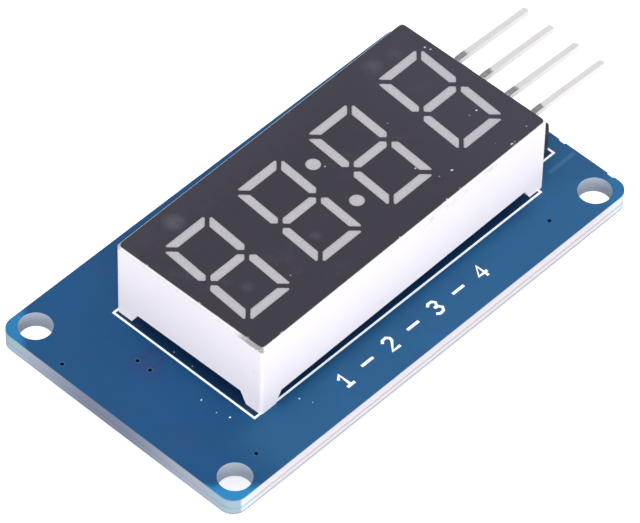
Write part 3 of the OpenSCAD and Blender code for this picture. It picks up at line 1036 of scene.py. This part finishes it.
# The print ink glows with its own colour (lift 0.3): painted light that brightens the print and the
# crumbs made of the same material.
INK = Plastic("print_ink", "F6FCFF", cloud=0.03, roughness=0.7, lift=0.3)
COPPER = Plastic("masked_trace", "2A4A7C", cloud=0.06, grain=0.003, specular=0.12)


@dataclass
class CircuitBoard(SubAssembly):
    """The board's mask, print, copper lines and rings, and the crumbs that lie on it."""

    numeral_height: float = 1.25
    numeral_width: float = 0.75
    numeral_base: float = -10.0
    numeral_places: tuple[float, ...] = (-7.6, -2.8, 2.0, 6.8)
    dash_half: float = 0.6
    lead_inset: float = 0.21
    lead_overlap: float = 0.3
    joint_inset: float = 0.85
    part_inset: float = 0.4
    fan_x: float = 14.5
    stub_x: float = 0.5
    middle_start: Point = (2.3, 0.0)
    side_via: Point = (-19.95, 6.1)
    side_run: tuple[Point, Point] = ((-18.6, -7.43), (-16.62, -9.41))
    side_bend: float = 0.6
    via_radius: float = 0.2
    via_width: float = 0.09
    via_height: float = 0.012
    vias: tuple[Point, ...] = (
        (-20.2, 6.1), (-16.19, 2.47), (-16.19, 1.2), (-16.43, -9.6), (14.46, -9.6),
    )
    fleck_size: float = 0.06
    fleck_lift: float = 0.012
    fleck_seed: int = 5
    flecks: Spots = (
        ((-15.62, -3.37), 1.0), ((-15.7, -4.96), 0.6), ((-15.35, -5.95), 1.14),
        ((-10.64, -8.28), 0.92), ((-10.23, -9.2), 0.5), ((-13.78, 1.15), 0.5),
        ((-13.81, -0.71), 0.5),
    )
    mask: SolderMask = field(default_factory=SolderMask)
    printed: Line = Line("print", "white_plastic", width=0.23, height=0.015, finish=INK)
    traces: Line = Line("traces", "solder_mask", width=0.3, height=0.01, finish=COPPER)
    tent: Plastic = Plastic(
        "via_tent", "34688F", cloud=0.08, grain=0.003, roughness=0.6, specular=0.08
    )

    def build(self) -> None:
        """Makes every piece on the board and dresses the board itself."""
        self.dress(self.mask.build(), "circuit_board")
        front = self.outlines(DISPLAY_OUTLINE, HEADER_OUTLINE) + self.numerals()
        back = self.outlines(CHIP_OUTLINE, HEADER_OUTLINE)
        ink = self.draw(self.printed, front, back)
        self.draw(self.traces, self.front_traces(), self.back_traces())
        self.rings()
        self.dust(ink)

    def draw(self, line: Line, front: list[Stroke], back: list[Stroke]) -> Material:
        """Draws one kind of line on both faces, one piece for each.

        Args:
            line: the kind of line.
            front: its strokes on the front.
            back: its strokes on the back.

        Returns:
            Its material.
        """
        recipe = ribbon_recipe(line.finish.build())
        for face, strokes in zip(Face, (front, back)):
            base = wires(f"{face.value}_{line.kind}", strokes, face.over(line.height / 2))
            self.keep(recipe.run(base, Width=line.width, Thickness=line.height), line.slot)
        return recipe.material

    def outlines(self, *boxes: Outline) -> list[Stroke]:
        """Gives a closed stroke for each printed outline."""
        return [
            [(x0, y0), (x1, y0), (x1, y1), (x0, y1), (x0, y0)] for (x0, y0), (x1, y1) in boxes
        ]

    def numerals(self) -> list[Stroke]:
        """Gives the digits' plain position numbers with a dash between neighbours.

        Returns:
            Their strokes.
        """
        size, base = self.numeral_height, self.numeral_base
        strokes = [
            [(left + x * size, base + y * size) for x, y in stroke]
            for number, left in enumerate(self.numeral_places, start=1)
            for stroke in NUMERALS[number]
        ]
        middle = base + size / 2
        for left, right in zip(self.numeral_places, self.numeral_places[1:]):
            centre = (left + right + self.numeral_width * size) / 2
            strokes.append([(centre - self.dash_half, middle), (centre + self.dash_half, middle)])
        return strokes

    def front_traces(self) -> list[Stroke]:
        """Gives the traces that show on the front, beside the display."""
        return [
            [(-15.94, 2.47), (-15.0, 2.47), (-14.45, 2.2)],
            [(-15.94, 1.2), (-15.0, 1.2), (-14.45, 1.5)],
        ]

    def back_traces(self) -> list[Stroke]:
        """Gives traces that run level, then at 45 degrees, and never cross one another.

        Returns:
            Strokes from the chip's leads, the small parts and the header.
        """
        low, high = node_box("driver_chip_leads")
        joint_low, joint_high = node_box("display_solder")
        part_low, part_high = node_box("resistor_caps")
        header_low, header_high = node_box("header_solder")
        inset = self.joint_inset
        lead = spread(low.y + self.lead_inset, high.y - self.lead_inset, 10)
        joint = spread(joint_low.x + inset, joint_high.x - inset, 6)
        near, far = joint_low.y + inset, joint_high.y - inset
        first, last = part_low.y + self.part_inset, part_high.y - self.part_inset
        small = (-last, -first, first, last)
        header = spread(header_low.y + inset, header_high.y - inset, 4)
        post, end = header_low.x + inset, part_high.x
        start, back = high.x - self.lead_overlap, low.x + self.lead_overlap
        run_x, bend = self.side_run[0][0], self.side_bend
        return [
            *(elbow((start, lead[i]), (joint[i], near)) for i in range(4)),
            *(elbow((start, lead[8 - i]), (joint[i], far)) for i in range(4)),
            elbow((start, lead[9]), (joint[4], far)),
            [(start, lead[4]), (self.stub_x, lead[4])],
            elbow(self.middle_start, (part_low.x, small[1])),
            elbow((part_low.x, small[0]), (joint[5], near)),
            elbow((part_low.x, small[2]), (joint[5], far)),
            *([*elbow((post, y), (self.fan_x, to)), (end, to)] for y, to in zip(header, small)),
            elbow((back, lead[9]), self.side_via),
            [(back, lead[0]), (run_x + bend, lead[0]), (run_x, lead[0] - bend), *self.side_run],
        ]

    def rings(self) -> None:
        """Makes the rings round the vias, on both faces."""
        lift = self.via_height / 2
        base = dots("via_rings", [(x, y, face.over(lift)) for x, y in self.vias for face in Face])
        recipe = ring_recipe(self.tent.build())
        sizes = {"Radius": self.via_radius, "Width": self.via_width, "Thickness": self.via_height}
        self.keep(recipe.run(base, **sizes), "solder_mask")

    def dust(self, material: Material) -> None:
        """Drops the pale crumbs that lie on the mask.

        Args:
            material: the crumbs' material.
        """
        height = Face.FRONT.over(self.fleck_lift)
        base = dots("board_flecks", [(x, y, height) for (x, y), _ in self.flecks])
        share = base.attributes.new("share", "FLOAT", "POINT")
        share.data.foreach_set("value", [size for _, size in self.flecks])
        piece = fleck_recipe(material).run(base, Size=self.fleck_size, Seed=self.fleck_seed)
        self.keep(piece, "white_plastic")


@dataclass
class Display(SubAssembly):
    """The display: housing, film, resin and what is cast inside."""

    housing: HousingPlastic = field(default_factory=HousingPlastic)
    film: FilmPrint = field(default_factory=FilmPrint)
    resin: MilkyResin = field(default_factory=MilkyResin)
    carrier: Plastic = Plastic("bare_laminate", "CFC79B", cloud=0.08, roughness=0.6)
    die: Plastic = Plastic("die_face", "B89A58", cloud=0.05, roughness=0.35, specular=0.5)
    wire: Metal = Metal("tinned_wire", "C9C9CC", "9A9AA0", roughness=0.32)

    def build(self) -> None:
        """Dresses the display's nodes."""
        self.dress(self.housing.build(), "display_housing")
        self.dress(self.film.build(), "face_film")
        self.dress(self.resin.build(), "display_resin")
        self.dress(self.carrier.build(), "led_carrier_board")
        self.dress(self.die.build(), "led_dies")
        self.dress(self.wire.build(), "display_pins_upper", "display_pins_lower")


@dataclass
class Header(SubAssembly):
    """The header: black insulator and four bent pins."""

    insulator: Plastic = Plastic("insulator_plastic", "2E303A", cloud=0.1, grain=0.006)
    plating: PinPlating = field(default_factory=PinPlating)
    pins: int = 4

    def build(self) -> None:
        """Dresses the header's nodes."""
        self.dress(self.insulator.build(), "header_insulator")
        self.dress(self.plating.build(), *(f"header_pin_{i}" for i in range(1, self.pins + 1)))


@dataclass
class Underside(SubAssembly):
    """The driver chip, the small parts and every solder joint."""

    moulding: Plastic = Plastic("chip_moulding", "232326", cloud=0.08, grain=0.01, roughness=0.6)
    lead: Metal = Metal("lead_tin", "C4C5C9", "94959B", roughness=0.38)
    ceramic: Plastic = Plastic("capacitor_ceramic", "A88762", cloud=0.06)
    glaze: Plastic = Plastic("resistor_glaze", "17171A", cloud=0.05, roughness=0.35, specular=0.5)
    solder: Metal = Metal("solder_skin", "BFC0C5", "8F9097", roughness=0.3, depth=0.01)

    def build(self) -> None:
        """Dresses the chip, the small parts and the solder."""
        self.dress(self.moulding.build(), "driver_chip_body")
        self.dress(self.lead.build(), "driver_chip_leads", "capacitor_caps", "resistor_caps")
        self.dress(self.ceramic.build(), "capacitor_bodies")
        self.dress(self.glaze.build(), "resistor_bodies")
        joints = ("display_solder", "header_solder", "chip_solder", "small_part_solder")
        self.dress(self.solder.build(), *joints)


# ---- Studio ----


@dataclass
class Studio:
    """Camera, lamp, world and floor; angles are in degrees, the lamp and floor in metres."""

    floor_z: float
    azimuth: float = -47.449
    elevation: float = 48.755
    roll: float = 1.434
    distance: float = 450.518
    aside: Point = (-0.0896, -0.3671)
    lift: float = BOARD_TOP
    lens: float = 348.24
    shift: Point = (0.004713, 0.001889)
    clip: Span = (0.01, 20.0)
    ambient: float = 0.92
    key_place: Place = (-0.41, -0.54, 0.14)
    key_size: float = 0.5
    key_power: float = 2.5
    floor_side: float = 3.0
    floor_grey: float = 0.86
    floor_glow: float = 0.65

    def build(self) -> None:
        """Sets up everything round the object."""
        bpy.context.scene.view_settings.view_transform = "Standard"
        self.camera()
        self.key()
        self.world()
        self.floor()

    def camera(self) -> None:
        """Places the camera on its line of sight, rolled a little."""
        turn, rise = math.radians(self.azimuth), math.radians(self.elevation)
        flat = math.cos(rise)
        back = Vector((math.sin(turn) * flat, -math.cos(turn) * flat, math.sin(rise)))
        level = Vector((math.cos(turn), math.sin(turn), 0.0))
        over = back.cross(level)
        tilt = math.radians(self.roll)
        right = level * math.cos(tilt) + over * math.sin(tilt)
        up = over * math.cos(tilt) - level * math.sin(tilt)
        spot = back * self.distance + right * self.aside[0] + up * self.aside[1]
        spot.z += self.lift
        lens = bpy.data.cameras.new("camera")
        lens.lens = self.lens
        lens.shift_x, lens.shift_y = self.shift
        lens.clip_start, lens.clip_end = self.clip
        camera = place("camera", lens)
        pose = Matrix((right, up, back)).transposed().to_4x4()
        pose.translation = spot * MM
        camera.matrix_world = pose
        bpy.context.scene.camera = camera

    def key(self) -> None:
        """Hangs the one lamp, a soft square that faces the object."""
        data = bpy.data.lights.new("key", "AREA")
        data.size = self.key_size
        data.energy = self.key_power
        lamp = place("key", data)
        lamp.location = self.key_place
        lamp.rotation_euler = (-Vector(self.key_place)).to_track_quat("-Z", "Y").to_euler()

    def world(self) -> None:
        """Makes the world: soft all round for the surfaces, white where it is seen itself."""
        world = bpy.data.worlds.new("studio")
        world.use_nodes = True
        nodes = Nodes(world.node_tree)
        inputs = {"Value": self.seen(nodes), "To Min": self.ambient, "To Max": 1.0}
        level = nodes.out("ShaderNodeMapRange", inputs)
        sky = nodes.out("ShaderNodeBackground", {"Color": WHITE, "Strength": level})
        nodes.add("ShaderNodeOutputWorld", {"Surface": sky})
        bpy.context.scene.world = world

    def seen(self, nodes: Nodes) -> Socket:
        """Gives 1 for rays that look at a thing itself or through a gloss or a glass.

        Args:
            nodes: the tree that needs it.

        Returns:
            The value.
        """
        rays = nodes.add("ShaderNodeLightPath").outputs
        value = rays["Is Camera Ray"]
        for other in ("Is Glossy Ray", "Is Transmission Ray"):
            value = nodes.out("ShaderNodeMath", {0: value, 1: rays[other]}, operation="MAXIMUM")
        return value

    def floor(self) -> None:
        """Lays the pale floor, which clips to white but keeps the object's shadow."""
        side, grey = self.floor_side, self.floor_grey
        corners = [(-side, -side), (side, -side), (side, side), (-side, side)]
        mesh = bpy.data.meshes.new("floor")
        mesh.from_pydata([(x, y, self.floor_z) for x, y in corners], [], [(0, 1, 2, 3)])
        floor = place("floor", mesh)
        material = bpy.data.materials.new("floor")
        material.use_nodes = True
        nodes = Nodes(material.node_tree)
        paint = nodes.out("ShaderNodeBsdfDiffuse", {"Color": (grey, grey, grey, 1.0)})
        inputs = {0: self.seen(nodes), 1: self.floor_glow}
        level = nodes.out("ShaderNodeMath", inputs, operation="MULTIPLY")
        glow = nodes.out("ShaderNodeEmission", {"Strength": level})
        both = nodes.out("ShaderNodeAddShader", {0: paint, 1: glow})
        nodes.add("ShaderNodeOutputMaterial", {"Surface": both})
        mesh.materials.append(material)
        floor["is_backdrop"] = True


def main() -> None:
    """Builds the sub-assemblies in order, then the studio."""
    logging.basicConfig(level=logging.INFO, format="%(name)s: %(message)s")
    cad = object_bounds()
    for part in (CircuitBoard(), Display(), Header(), Underside()):
        part.build()
    Studio(cad[0].z).build()


if __name__ == "__main__":
    main()
